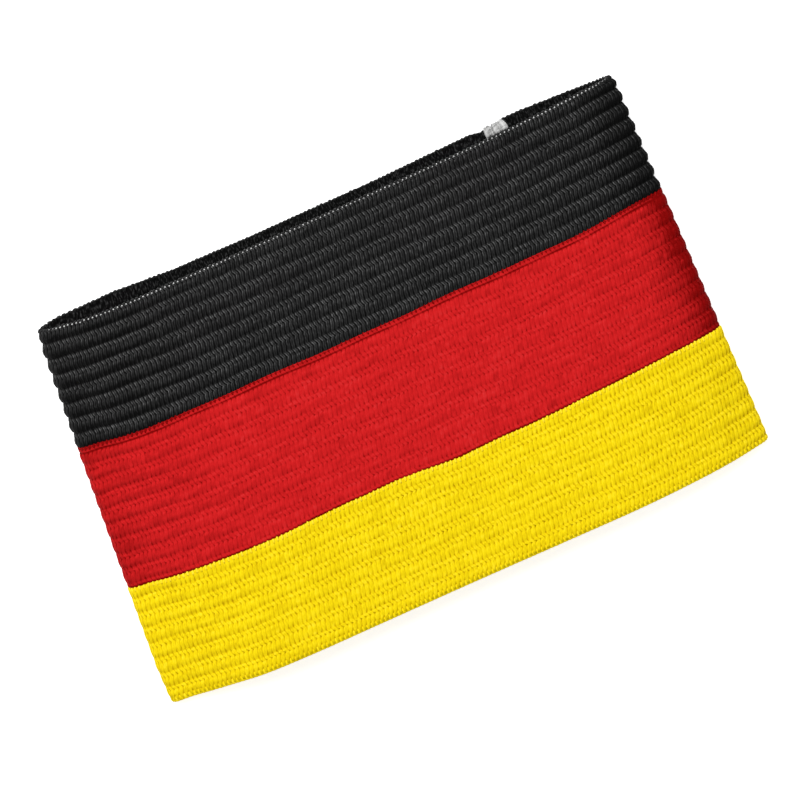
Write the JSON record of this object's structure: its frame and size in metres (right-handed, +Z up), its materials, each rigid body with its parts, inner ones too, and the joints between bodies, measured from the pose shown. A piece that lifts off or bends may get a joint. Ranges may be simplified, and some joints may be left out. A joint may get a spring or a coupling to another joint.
{
  "type": "captain armband",
  "caption": "Closed sleeve of ribbed elastic in three stripes, lying flattened on its back wall, open at both rims, with an inward overlocked seam.",
  "frame": {"origin": "on the surface the armband lies on, under the middle of its floor area", "axes": "+X along the flattened loop, +Y along the arm towards the black rim, +Z up from the surface"},
  "size_m": [0.128, 0.0812, 0.0123],
  "materials": {
    "black_elastic": "ribbed knitted elastic, matt with a faint sheen on the threads",
    "red_elastic": "ribbed knitted elastic, matt, saturated red",
    "yellow_elastic": "ribbed knitted elastic, matt, warm yellow",
    "seam_thread": "white overlock thread, matt"
  },
  "bodies": {
    "root": {"black_stripe": "black_elastic", "red_stripe": "red_elastic", "yellow_stripe": "yellow_elastic", "seam_overlock": "seam_thread"}
  },
  "joints": []
}
